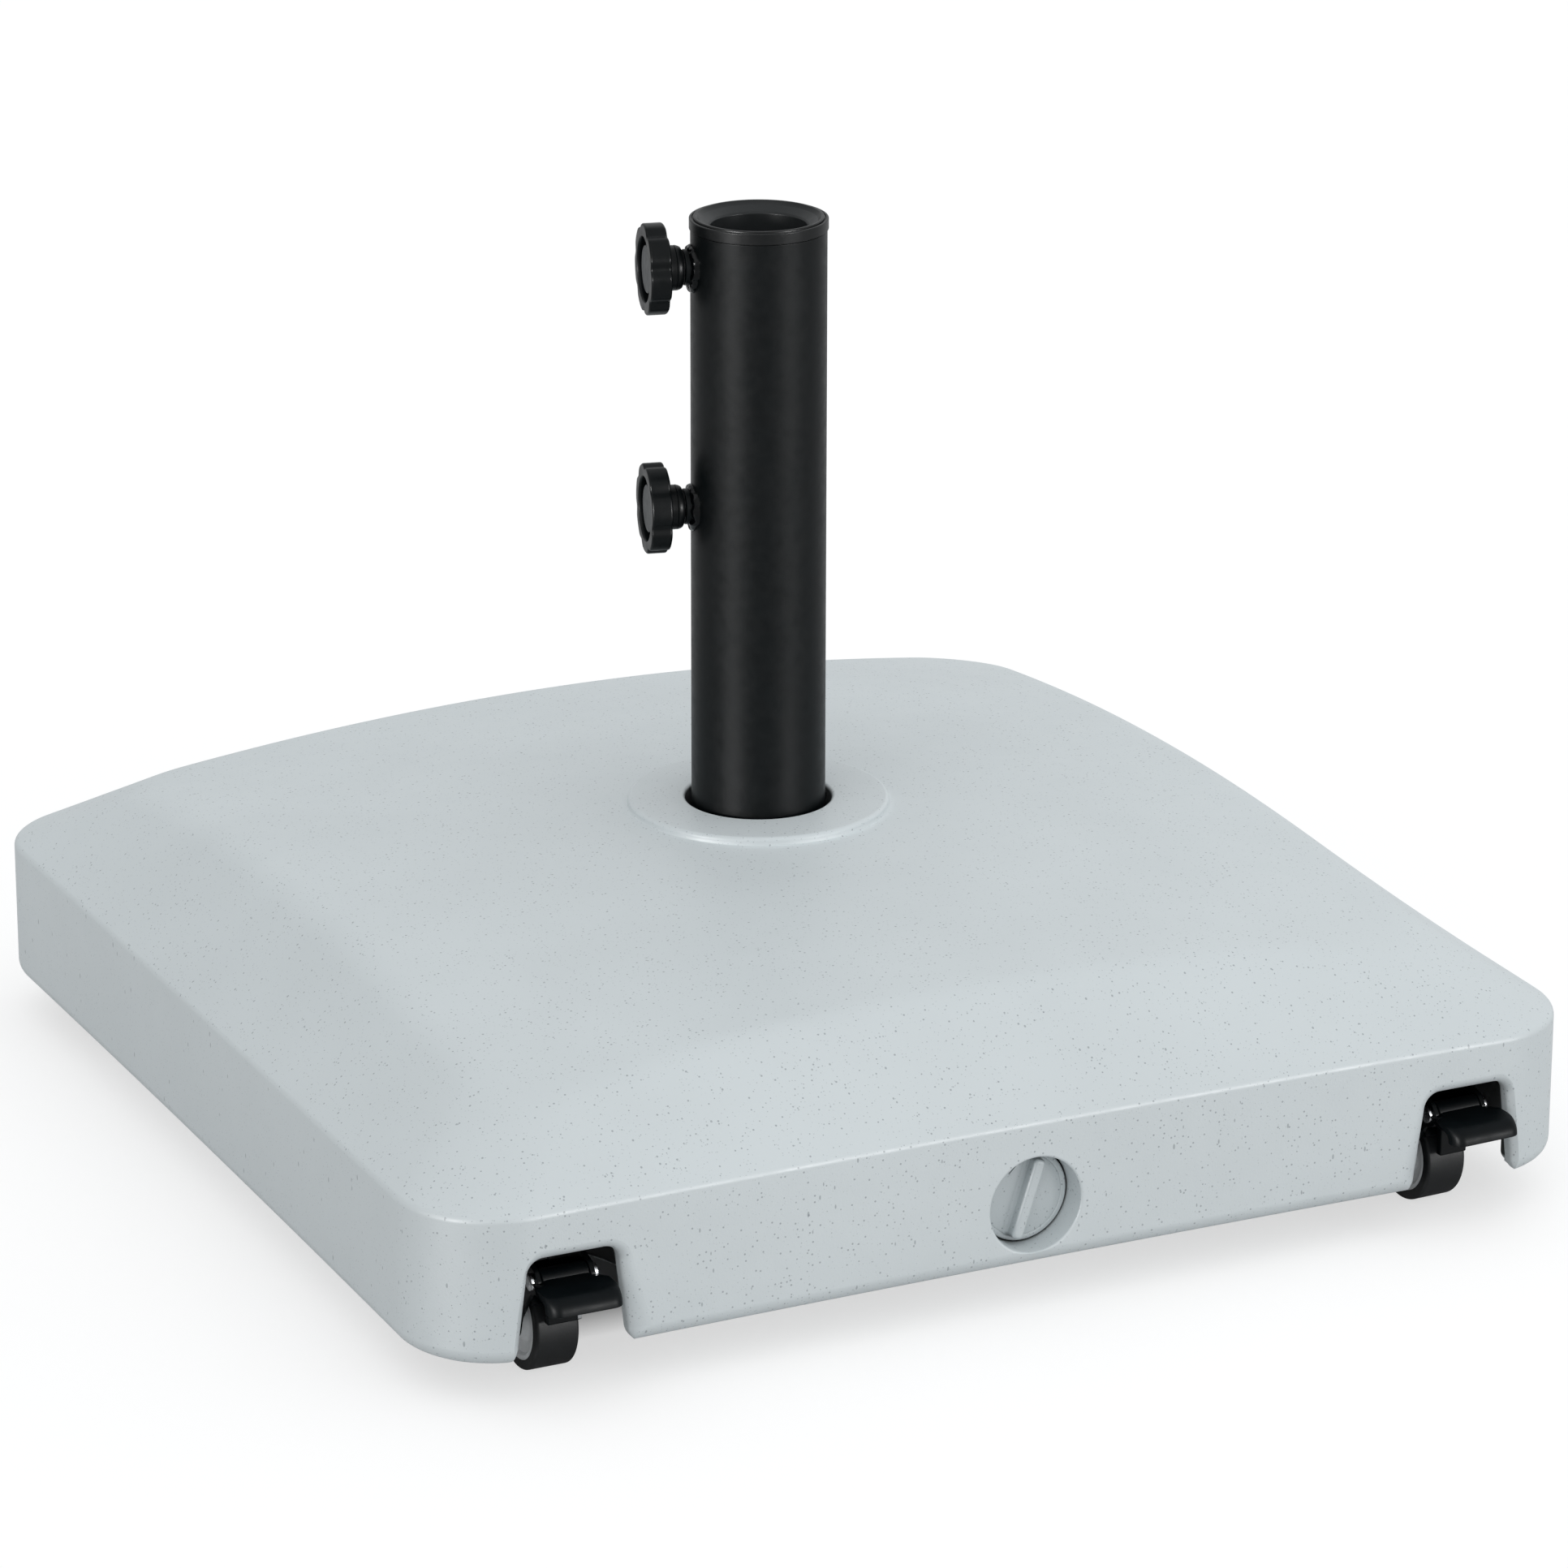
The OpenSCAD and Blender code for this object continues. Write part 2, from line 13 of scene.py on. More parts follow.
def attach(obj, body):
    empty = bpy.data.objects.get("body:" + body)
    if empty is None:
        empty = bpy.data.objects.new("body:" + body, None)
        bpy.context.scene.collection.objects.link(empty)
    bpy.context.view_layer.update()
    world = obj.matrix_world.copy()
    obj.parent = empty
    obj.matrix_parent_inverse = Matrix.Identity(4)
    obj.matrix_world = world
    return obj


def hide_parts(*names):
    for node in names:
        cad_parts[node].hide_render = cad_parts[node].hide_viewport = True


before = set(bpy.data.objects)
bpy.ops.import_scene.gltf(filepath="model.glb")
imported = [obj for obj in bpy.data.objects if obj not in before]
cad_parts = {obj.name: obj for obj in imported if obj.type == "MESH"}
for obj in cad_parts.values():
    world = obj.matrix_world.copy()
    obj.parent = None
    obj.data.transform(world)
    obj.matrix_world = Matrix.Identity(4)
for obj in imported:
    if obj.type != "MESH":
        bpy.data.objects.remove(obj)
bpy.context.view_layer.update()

MM = 0.001  # in metres

# tank
HALF = 250.0  # half its side
CORNER = 41.0  # corner radius, from above
LIFT = 17.0  # height of its foot over the floor
UNDER = LIFT + 2  # height of its flat underside
WALL = 62.7  # height of its wall over the foot, at the corners
ARCH = 1.8  # how much further up the wall's edges are at mid-side
FOOT_R = 7.0  # rounding of the wall's lower edge
RIM_R = 3.6  # rounding of the wall's upper edge
CREASE = 205.0  # half the side of the crease between border and crown
CREASE_R = 32.0  # corner radius of the crease
CROWN = 112.5  # height of the crown's middle over the foot
DOME_SIDE = 10.6  # fall of the crown from its middle to mid-side
DOME_CORNER = 5.8  # what its corners fall beyond two sides' falls
COLLAR_R = 54.0  # raised ring round the foot of the mast
COLLAR_TOP = LIFT + CROWN + 3
WELL_R = 30.2  # well that the mast stands in
POCKET_R = 47.0  # pocket over each caster
CEILING = 60.0  # height of the pockets' ceilings
NOTCH_H = 42.0  # height of a brake's notch over the foot
NOTCH_HALF = 19.0  # half its width at the top

# mast and clamps
FLANGE_TOP = 25.0  # height at which the tube starts
FLANGE_HALF = 51.0  # half the side of the recess round the flange
MAST_R = 27.6
MAST_IN = 25.8  # inner radius
MAST_TOP = 372.8
SOCKET_R = 19.5  # the cap's opening
NUT_R = 7.3
KNOB_R = 18.5
KNOB_TURN = 13.5  # how far the clamps point back from the left
# height, the knob's own turn in radians, and body
CLAMPS = {"upper": (358.4, 0.0, "knob_hi"), "lower": (258.4, 0.45, "knob_lo")}

# filler plug
PLUG_H = 44.2  # height of its middle over the floor
RECESS_R = 19.7
NECK_R = 15.0  # bore behind the recess
PLUG_FACE = 11.5  # how deep its face lies behind the wall's
GRIP_LEAN = 18.0

# casters
CASTER = 193.5  # how far their kingpins stand from the middle, in x and in y
WHEEL_R = 20.0
TYRE_W = 17.6
TRAIL = 19.0  # how far the axle stands in front of the kingpin
HUB_HALF = 9.7  # half the hub's width, and that of what fits between the fork's cheeks
FORK_HALF = 12.0  # half a fork's width
FORK_SHEET = 2.0  # thickness of its cheeks
FORK_TOP = 54.9
PIN_Y = -42.5  # the pedal's pin, from the kingpin
PIN_Z = 45.0
PEDAL_TOP = LIFT + 29.6
FRONT_RIGHT_TURN = 2.5  # the front right caster stands a little askew


# ---------------------------------------------------------------- shader helpers
def feed(tree, socket, value):
    """Links a socket to another one, or sets its plain value."""
    if isinstance(value, bpy.types.NodeSocket):
        tree.links.new(value, socket)
    else:
        socket.default_value = value


def node(tree, kind, settings=None, **inputs):
    """Adds a node. Its inputs are named with _ for a space, or by number as i0, i1."""
    made = tree.nodes.new(kind)
    for key, value in (settings or {}).items():
        setattr(made, key, value)
    for key, value in inputs.items():
        numbered = key[0] == "i" and key[1:].isdigit()
        feed(tree, made.inputs[int(key[1:]) if numbered else key.replace("_", " ")], value)
    return made


def put(tree, surface, **inputs):
    """Sets inputs of a surface shader, named with _ for a space."""
    for key, value in inputs.items():
        feed(tree, surface.inputs[key.replace("_", " ")], value)


def maths(tree, operation, *values):
    """One step of arithmetic on sockets or numbers."""
    inputs = {"i" + str(k): value for k, value in enumerate(values)}
    return node(tree, "ShaderNodeMath", {"operation": operation}, **inputs).outputs[0]


def vector_maths(tree, operation, *values):
    """One step of vector arithmetic."""
    inputs = {"i" + str(k): value for k, value in enumerate(values)}
    made = node(tree, "ShaderNodeVectorMath", {"operation": operation}, **inputs)
    return made.outputs["Value" if operation in ("LENGTH", "DOT_PRODUCT") else "Vector"]


def ramp(tree, value, low, high, to_low=0.0, to_high=1.0):
    """The value moved from the range low to high into another range, and clamped there."""
    return node(tree, "ShaderNodeMapRange", None, Value=value, From_Min=low, From_Max=high,
                To_Min=to_low, To_Max=to_high).outputs[0]


def mix(tree, share, first, second):
    """The first colour where share is 0, the second where it is 1."""
    return node(tree, "ShaderNodeMix", {"data_type": "RGBA"}, i0=share, i6=first, i7=second).outputs[2]


def rgb(r, g, b):
    return (r, g, b, 1.0)


def scaled(colour, factor):
    return tuple(factor * c for c in colour[:3]) + (1,)


def noise_at(tree, coords, size, detail=3.0):
    return node(tree, "ShaderNodeTexNoise", None, Vector=coords, Scale=1 / (size * MM), Detail=detail,
                Roughness=0.55).outputs["Fac"]


def bump(tree, height, depth, strength, **under):
    """A bumped normal; under may name the normal below it."""
    return node(tree, "ShaderNodeBump", None, Strength=strength, Distance=depth * MM, Height=height,
                **under).outputs[0]


def from_axis(tree, coords):
    """How far a point is from the Z axis, in metres."""
    return vector_maths(tree, "LENGTH", vector_maths(tree, "MULTIPLY", coords, (1, 1, 0)))


def specks(tree, coords, cell, radius, share, stretch=(1, 1, 1), turned=(0, 0, 0)):
    """Scattered flecks, 1 in a fleck and 0 between; share is how many cells hold one."""
    place = node(tree, "ShaderNodeMapping", None, Vector=coords, Rotation=turned, Scale=stretch).outputs[0]
    cells = node(tree, "ShaderNodeTexVoronoi", None, Vector=place, Scale=1 / (cell * MM), Randomness=1.0)
    chance = node(tree, "ShaderNodeSeparateColor", None, Color=cells.outputs["Color"]).outputs
    size = ramp(tree, chance[1], 0, 1, 0.45 * radius / cell, radius / cell)
    near = ramp(tree, maths(tree, "DIVIDE", cells.outputs["Distance"], size), 1.0, 0.7)
    return maths(tree, "MULTIPLY", near, maths(tree, "LESS_THAN", chance[0], share))


def new_material(name):
    """A material with its node tree, surface shader and object coordinates."""
    made = bpy.data.materials.new(name)
    made.use_nodes = True
    tree = made.node_tree
    coords = tree.nodes.new("ShaderNodeTexCoord").outputs["Object"]
    return made, tree, tree.nodes["Principled BSDF"], coords


# ---------------------------------------------------------------- materials
def in_pocket(tree, coords):
    """1 inside the pockets that the casters turn in, whose walls are painted near-black as painted shade, 0
    elsewhere on the tank.
    """
    quadrant = vector_maths(tree, "ABSOLUTE", coords)
    away = from_axis(tree, vector_maths(tree, "SUBTRACT", quadrant, (CASTER * MM, CASTER * MM, 0)))
    height = node(tree, "ShaderNodeSeparateXYZ", None, i0=coords).outputs[2]
    near = ramp(tree, away, (POCKET_R + 7) * MM, (POCKET_R + 4) * MM)
    low = ramp(tree, height, (CEILING + 1) * MM, (CEILING + 0.2) * MM)
    above_foot = ramp(tree, height, (LIFT + 2.2) * MM, (LIFT + 3.5) * MM)
    return maths(tree, "MULTIPLY", maths(tree, "MULTIPLY", near, low), above_foot)


def tank_material(name, base, deep, reach, least):
    """Pale flecked plastic with painted shade: narrow hollows are darkened towards a deep colour.

    reach is how far a hollow looks for its other side, and least is the share of its own colour kept there.
    """
    made, tree, surface, coords = new_material(name)
    tone = mix(tree, ramp(tree, noise_at(tree, coords, 70, 2), 0.3, 0.7), base, scaled(base, 0.965))
    grey, dark = rgb(0.20, 0.23, 0.25), rgb(0.12, 0.14, 0.16)
    dots = specks(tree, coords, 1.5, 0.34, 0.9)
    larger_dots = specks(tree, coords, 2.4, 0.52, 0.65)
    dashes = specks(tree, coords, 3.6, 0.55, 0.55, (1, 1, 0.4), (0.5, 0.35, 0))
    for fleck, strength, colour in ((dots, 0.36, grey), (larger_dots, 0.52, dark), (dashes, 0.50, dark)):
        tone = mix(tree, ramp(tree, fleck, 0, 1, 0, strength), tone, colour)
    # painted shade: ambient occlusion darkens narrow hollows towards the deep colour
    open_share = node(tree, "ShaderNodeAmbientOcclusion", {"samples": 8, "only_local": False},
                      Distance=reach * MM).outputs["AO"]
    shaded = mix(tree, ramp(tree, open_share, 0.02, 0.36, least, 1.0), deep, tone)
    waves = bump(tree, noise_at(tree, coords, 26, 1), 0.6, 0.25)
    # painted shade: the caster pockets' walls are painted near-black
    put(tree, surface, Specular_IOR_Level=0.35,
        Base_Color=mix(tree, in_pocket(tree, coords), shaded, rgb(0.012, 0.013, 0.014)),
        Roughness=ramp(tree, noise_at(tree, coords, 12), 0.3, 0.7, 0.42, 0.52),
        Normal=bump(tree, noise_at(tree, coords, 0.9), 0.12, 0.45, Normal=waves))
    return made


def black_material(name, base, rough, shine, grain, depth, edge_highlight=0.0, bore=None):
    """A black finish. Its outer edges can be lightened as a painted highlight, and a given bore colour,
    lighter than the finish, paints light on the inside of the mast's opening.
    """
    made, tree, surface, coords = new_material(name)
    tone = mix(tree, ramp(tree, noise_at(tree, coords, 9, 4), 0.35, 0.65), base, scaled(base, 1.35))
    # painted light: a lighter colour inside the mast's opening stands for its lit far wall
    if bore:
        inside = ramp(tree, from_axis(tree, coords), (MAST_IN + 0.2) * MM, (MAST_IN - 1.8) * MM)
        tone = mix(tree, inside, tone, bore)
    # painted highlight: the outer edges are lightened
    pointed = tree.nodes.new("ShaderNodeNewGeometry").outputs["Pointiness"]
    edge = ramp(tree, pointed, 0.53, 0.62, 0.0, edge_highlight)
    put(tree, surface, Specular_IOR_Level=shine,
        Base_Color=mix(tree, edge, tone, rgb(0.12, 0.125, 0.13)),
        Roughness=ramp(tree, noise_at(tree, coords, 5), 0.3, 0.7, rough - 0.04, rough + 0.05),
        Normal=bump(tree, noise_at(tree, coords, grain, 2), depth, 0.5))
    return made


def steel_material(name):
    made, tree, surface, coords = new_material(name)
    cloud = noise_at(tree, coords, 3, 5)
    put(tree, surface, Metallic=1.0,
        Base_Color=mix(tree, ramp(tree, cloud, 0.35, 0.7), rgb(0.62, 0.63, 0.64), rgb(0.42, 0.43, 0.45)),
        Roughness=ramp(tree, cloud, 0.3, 0.7, 0.2, 0.34),
        Normal=bump(tree, noise_at(tree, coords, 0.5), 0.03, 0.4))
    return made


def grey_material(name, base, rough):
    made, tree, surface, coords = new_material(name)
    cloud = noise_at(tree, coords, 4, 4)
    put(tree, surface, Specular_IOR_Level=0.4,
        Base_Color=mix(tree, ramp(tree, cloud, 0.3, 0.7), base, scaled(base, 0.88)),
        Roughness=ramp(tree, cloud, 0.3, 0.7, rough - 0.05, rough + 0.06),
        Normal=bump(tree, noise_at(tree, coords, 0.6), 0.04, 0.5))
    return made


# the second colour of each is the painted shade in its hollows
TANK = tank_material("tank_plastic", rgb(0.60, 0.645, 0.66), rgb(0.05, 0.055, 0.058), reach=16, least=0.0)
PLUG = tank_material("plug_plastic", rgb(0.54, 0.585, 0.60), rgb(0.16, 0.17, 0.175), reach=18, least=0.2)
COAT = black_material("powder_coat", rgb(0.0014, 0.0026, 0.0031), rough=0.40, shine=0.12, grain=0.45,
                      depth=0.04)
LEVER = black_material("lever_coat", rgb(0.0014, 0.0026, 0.0033), rough=0.46, shine=0.08, grain=0.4,
                       depth=0.03)
WELD = black_material("painted_weld", rgb(0.0012, 0.0016, 0.002), rough=0.16, shine=0.16, grain=1.2,
                      depth=0.12)
# the knobs and cap get a painted highlight on their edges, and the cap a lighter bore as painted light
PLASTIC = black_material("black_plastic", rgb(0.0016, 0.0026, 0.003), rough=0.34, shine=0.12, grain=0.3,
                         depth=0.03, edge_highlight=0.3)
CAP = black_material("cap_plastic", rgb(0.0028, 0.0036, 0.004), rough=0.36, shine=0.18, grain=0.3,
                     depth=0.03, edge_highlight=0.6, bore=rgb(0.020, 0.022, 0.023))
RUBBER = black_material("rubber", rgb(0.008, 0.009, 0.010), rough=0.55, shine=0.2, grain=0.6, depth=0.08)
FACE = grey_material("knob_disc", rgb(0.024, 0.029, 0.031), rough=0.5)
HUB = grey_material("hub_plastic", rgb(0.80, 0.82, 0.83), rough=0.42)
STEEL = steel_material("zinc_plate")


# ---------------------------------------------------------------- outlines
def quarter(steps):
    """The angles of a quarter turn from 0, in radians."""
    return [math.pi / 2 * k / steps for k in range(steps + 1)]


def arc(cx, cy, r, start, end, steps):
    """Points on an arc between two angles."""
    turns = [math.radians(start + (end - start) * k / steps) for k in range(steps + 1)]
    return [(cx + r * math.cos(t), cy + r * math.sin(t)) for t in turns]


def rectangle(x0, y0, x1, y1):
    return [(x0, y0), (x1, y0), (x1, y1), (x0, y1)]


def rounded(points, steps=6):
    """The outline through (x, y, radius) corners, where a corner with a radius becomes an arc."""
    shortest, nearly_straight, most_of_side = 1e-6, 0.02, 0.48
    out = []
    for i, (x, y, r) in enumerate(points):
        corner = Vector((x, y))
        before = Vector(points[i - 1][:2]) - corner
        after = Vector(points[(i + 1) % len(points)][:2]) - corner
        if r <= 0 or before.length < shortest or after.length < shortest:
            out.append((x, y))
            continue
        to_before, to_after = before.normalized(), after.normalized()
        half = to_before.angle(to_after) / 2
        if half > math.pi / 2 - nearly_straight:
            out.append((x, y))
            continue
        trim = min(r / math.tan(half), most_of_side * before.length, most_of_side * after.length)
        radius = trim * math.tan(half)
        centre = corner + (to_before + to_after).normalized() * (radius / math.sin(half))
        start = corner + to_before * trim - centre
        end = corner + to_after * trim - centre
        first = math.atan2(start.y, start.x)
        swing = (math.atan2(end.y, end.x) - first + math.pi) % (2 * math.pi) - math.pi
        turns = [first + swing * k / steps for k in range(steps + 1)]
        out += [(centre.x + radius * math.cos(t), centre.y + radius * math.sin(t)) for t in turns]
    return out


def rounded_rectangle(half_x, half_y, radius, steps=6):
    corners = ((1, 1), (-1, 1), (-1, -1), (1, -1))
    return rounded([(x * half_x, y * half_y, radius) for x, y in corners], steps)


# ---------------------------------------------------------------- solids, as (points, faces)
def loft(rings, closed=False):
    """A skin over rings of equal length, closed into a loop or else capped at both ends."""
    n, m = len(rings[0]), len(rings)
    points = [point for ring in rings for point in ring]
    faces = [(i * n + k, i * n + (k + 1) % n, (i + 1) % m * n + (k + 1) % n, (i + 1) % m * n + k)
             for i in range(m if closed else m - 1) for k in range(n)]
    if not closed:
        faces += [tuple(range(n)), tuple(range((m - 1) * n, m * n))]
    return points, faces


def lathe(section, steps=128):
    """A closed (r, z) section turned about Z."""
    turns = [2 * math.pi * k / steps for k in range(steps)]
    return loft([[(r * math.cos(t), r * math.sin(t), z) for t in turns] for r, z in section], closed=True)


AXIS = 0.001  # radius at which a solid lathe's section ends, as good as 0


def prism(outline, low, high):
    return loft([[(x, y, z) for x, y in outline] for z in (low, high)])


def merge(*parts):
    points, faces = [], []
    for more_points, more_faces in parts:
        faces += [tuple(i + len(points) for i in face) for face in more_faces]
        points += more_points
    return points, faces


def moved(part, matrix):
    return [tuple(matrix @ Vector(point)) for point in part[0]], part[1]


def softened(part, width, steps=3):
    """The part with its sharp edges rounded off."""
    sharp_from = math.radians(32)
    bm = bmesh.new()
    made = [bm.verts.new(point) for point in part[0]]
    for face in part[1]:
        bm.faces.new([made[i] for i in face])
    bmesh.ops.recalc_face_normals(bm, faces=bm.faces)
    sharp = [e for e in bm.edges if len(e.link_faces) == 2 and e.calc_face_angle(0) > sharp_from]
    bmesh.ops.bevel(bm, geom=sharp, offset=width, segments=steps, profile=0.5, affect="EDGES",
                    clamp_overlap=True)
    bm.verts.index_update()
    out = [tuple(v.co) for v in bm.verts], [tuple(v.index for v in f.verts) for f in bm.faces]
    bm.free()
    return out


def shift(x, y, z):
    return Matrix.Translation((x, y, z))


def turn(degrees, axis):
    return Matrix.Rotation(math.radians(degrees), 4, axis)


ACROSS = turn(90, "Y")  # lays a lathe's axis along X
SIDE_ON = Matrix(((0, 0, 1, 0), (1, 0, 0, 0), (0, 1, 0, 0), (0, 0, 0, 1)))  # a prism's outline is in y and z
PLUG_PLACE = shift(0, -HALF, PLUG_H) @ turn(-90, "X")  # z runs into the tank from the wall's face


# ---------------------------------------------------------------- objects
def to_mesh(name, part):
    mesh = bpy.data.meshes.new(name)
    mesh.from_pydata([tuple(MM * c for c in point) for point in part[0]], [], part[1])
    bm = bmesh.new()
    bm.from_mesh(mesh)
    bmesh.ops.remove_doubles(bm, verts=bm.verts, dist=1e-7)
    bmesh.ops.dissolve_degenerate(bm, dist=1e-8, edges=bm.edges)
    bmesh.ops.recalc_face_normals(bm, faces=bm.faces)
    bm.to_mesh(mesh)
    bm.free()
    return mesh


def add_object(name, data):
    obj = bpy.data.objects.new(name, data)
    bpy.context.scene.collection.objects.link(obj)
    return obj


def smooth(mesh, sharp_from):
    mesh.shade_smooth()
    mesh.set_sharp_from_angle(angle=math.radians(sharp_from))


def dress(obj, material, sharp_from):
    smooth(obj.data, sharp_from)
    obj.data.materials.clear()
    obj.data.materials.append(material)


def piece(name, shape, body, material, cad_node, sharp_from=38):
    """A visible piece, from a part or a mesh, that rides on a body and stands for a CAD node."""
    obj = add_object(name, shape if isinstance(shape, bpy.types.Mesh) else to_mesh(name, shape))
    dress(obj, material, sharp_from)
    obj.modifiers.new("normals", "WEIGHTED_NORMAL").keep_sharp = True
    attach(obj, body)
    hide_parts(cad_node)


def keep_cad(name, material, width, steps=2):
    """A CAD node shown as it is, with its edges rounded by modifiers."""
    sharp_from = 40
    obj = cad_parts[name]
    dress(obj, material, sharp_from)
    obj.modifiers.new("weld", "WELD").merge_threshold = 1e-6
    bevel = obj.modifiers.new("edges", "BEVEL")
    bevel.width = width * MM
    bevel.segments = steps
    bevel.limit_method = "ANGLE"
    bevel.angle_limit = math.radians(sharp_from)
    bevel.harden_normals = True


def cut(mesh, *parts):
    """The mesh with each closed part cut away."""
    for part in parts:
        host = add_object("host", mesh)
        tool = add_object("tool", to_mesh("tool", part))
        step = host.modifiers.new("cut", "BOOLEAN")
        step.operation = "DIFFERENCE"
        step.solver = "EXACT"
        step.object = tool
        bpy.context.view_layer.update()
        mesh = bpy.data.meshes.new_from_object(host.evaluated_get(bpy.context.evaluated_depsgraph_get()))
        for obj in (host, tool):
            bpy.data.objects.remove(obj)
    return mesh


# ---------------------------------------------------------------- tank
ARC_STEPS = 22  # points round each corner of a ring
SIDE_STEPS = 44  # points along each side


def square_ring(half, radius, height):
    """A rounded square; height(x, y) gives its z."""
    straight = half - radius
    side = [(straight + radius * math.cos(t), straight + radius * math.sin(t)) for t in quarter(ARC_STEPS)]
    side += [(straight - 2 * straight * k / SIDE_STEPS, half) for k in range(1, SIDE_STEPS)]
    ring = [(x * c - y * s, x * s + y * c) for c, s in ((1, 0), (0, 1), (-1, 0), (0, -1)) for x, y in side]
    return [(x, y, height(x, y)) for x, y in ring]


def dome(x, y):
    """The crown's height at a point."""
    u, v = (x / CREASE) ** 2, (y / CREASE) ** 2
    return LIFT + CROWN - DOME_SIDE * (u + v) - DOME_CORNER * u * v


def level(z):
    """A height for square_ring that is the same all round."""
    return lambda x, y: z


def arched(z):
    """A height for square_ring that is z over the foot at the corners, and arches up along the sides."""
    return lambda x, y: LIFT + z + ARCH * (1 - (min(abs(x), abs(y)) / HALF) ** 2)


def blend(p, q, share):
    return tuple(a + (b - a) * share for a, b in zip(p, q))


FOLD = square_ring(CREASE, CREASE_R, dome)


def circle(r, z):
    """A round ring with a point in the direction of each point of the crease."""
    return [(r * x / math.hypot(x, y), r * y / math.hypot(x, y), z) for x, y, _ in FOLD]


def underside_and_wall(wall_top):
    rings = [circle(WELL_R, UNDER), circle(80, UNDER), square_ring(HALF - 60, 60, level(UNDER)),
             square_ring(HALF - 26, 30, level(UNDER)),
             square_ring(HALF - 18, CORNER - 16, level(UNDER - 0.3))]
    for t in quarter(8):
        inset = FOOT_R * (1 - math.sin(t))
        rings.append(square_ring(HALF - inset, CORNER - inset, arched(FOOT_R * (1 - math.cos(t)))))
    steps = 5
    for k in range(1, steps + 1):
        rings.append(square_ring(HALF, CORNER, arched(FOOT_R + (wall_top - FOOT_R) * k / steps)))
    return rings


def rim(wall):
    """An arc that leaves the wall upright and meets the border's slope, which differs round the tank."""
    inset, steps = 3, 8
    lip = square_ring(HALF - inset, CORNER - inset, arched(WALL))
    slopes = [math.atan2(f[2] - p[2], math.dist(f[:2], p[:2])) for f, p in zip(FOLD, lip)]
    rings = []
    for k in range(1, steps + 1):
        ring = []
        for low, high, slope in zip(wall, lip, slopes):
            inward = Vector((high[0] - low[0], high[1] - low[1])).normalized()
            t = (math.pi / 2 - slope) * k / steps
            reach = RIM_R * (1 - math.cos(t))
            ring.append((low[0] + inward.x * reach, low[1] + inward.y * reach, low[2] + RIM_R * math.sin(t)))
        rings.append(ring)
    return rings


def border_and_crease(start, end):
    """A straight slope up from start, then a soft bend over the crease to end."""
    slope_steps, bend_steps, straight_share = 9, 7, 0.86
    low = [blend(p, q, straight_share) for p, q in zip(start, FOLD)]
    rings = [[blend(p, q, k / slope_steps) for p, q in zip(start, low)] for k in range(1, slope_steps + 1)]
    for share in (k / bend_steps for k in range(1, bend_steps + 1)):
        rings.append([blend(blend(p, q, share), blend(q, r, share), share)
                      for p, q, r in zip(low, FOLD, end)])
    return rings


def crown(start):
    """Squares that turn into circles towards the collar."""
    inner, steps = 58.0, 29
    rings = []
    for share in (k / steps for k in range(1, steps + 1)):
        ring = []
        for x, y, _ in start:
            r = math.hypot(x, y)
            scale = (r + (inner - r) * share) / r
            ring.append((x * scale, y * scale, dome(x * scale, y * scale)))
        rings.append(ring)
    return rings


def collar_and_well():
    round_out, round_in = 1.8, 1.6
    base = dome(COLLAR_R, 0)
    section = [(COLLAR_R + 2.2, dome(COLLAR_R + 2.2, 0))]
    section += [(COLLAR_R + out, base + up) for out, up in ((1.0, 0.12), (0.3, 0.5), (0, 1.3))]
    section += [(COLLAR_R - round_out * (1 - math.cos(t)), COLLAR_TOP - round_out * (1 - math.sin(t)))
                for t in quarter(6)]
    section += [(r, COLLAR_TOP) for r in (48, 42, 36)]
    section += [(WELL_R + round_in * (1 - math.sin(t)), COLLAR_TOP - round_in * (1 - math.cos(t)))
                for t in quarter(6)]
    section += [(WELL_R, COLLAR_TOP - down) for down in (8, 30, 70)]
    return [circle(r, z) for r, z in section]


def tank_skin():
    """The outside of the tank as one closed surface, before anything is cut into it."""
    wall_top = WALL - RIM_R - 0.9
    rings = underside_and_wall(wall_top)
    rings += rim(square_ring(HALF, CORNER, arched(wall_top)))
    inside_crease = square_ring(CREASE - 9, CREASE_R - 2, dome)
    rings += border_and_crease(rings[-1], inside_crease)
    rings += crown(inside_crease)
    rings += collar_and_well()
    return loft(rings, closed=True)


def notch_outline(grow):
    """The notch over a brake pedal, in x and z round the caster, made wider and higher by grow."""
    radius, flare, slope = 6.5 + grow, 9.0, 0.1
    top, wide = LIFT + NOTCH_H + grow, NOTCH_HALF + grow
    foot = wide + slope * (NOTCH_H - flare)
    half = arc(wide - radius, top - radius, radius, 90, 0, 10)
    half += arc(foot + flare, LIFT + flare - 0.8, flare - grow, 180, 270, 10)
    half.append((foot + flare, LIFT - 4))
    return half + [(-x, z) for x, z in reversed(half)]


def notch_tool(caster_x):
    """The notch as a solid whose mouth widens in a rounded lip at the wall's face."""
    lip = 4.2
    stations = [(-4, lip)]  # how far behind the wall's face, and how much wider
    stations += [(lip * (1 - math.cos(t)) + 0.02, lip * (1 - math.sin(t))) for t in quarter(9)]
    stations.append((40, 0))
    return loft([[(caster_x + x, -HALF + back, z) for x, z in notch_outline(grow)]
                 for back, grow in stations])


def space_behind_notch(caster_x):
    """The space behind the wall's thickness, wider than the notch itself."""
    left, right, front, back = caster_x - 27, caster_x + 27, 7.5 - HALF, -205
    outline = rounded([(right, back, 2), (left, back, 2), (left, front, 3), (right, front, 3)])
    return prism(outline, LIFT - 5, CEILING - 0.5)


def dish(r, depth, lip):
    """A round tool with a flared mouth at z = 0, reaching down to depth."""
    outside = -4
    section = [(AXIS, outside), (r + lip, outside)]
    section += [(r + lip * (1 - math.sin(t)), lip * (1 - math.cos(t)) + 0.01) for t in quarter(6)]
    section += [(r, depth), (AXIS, depth)]
    return lathe(section)


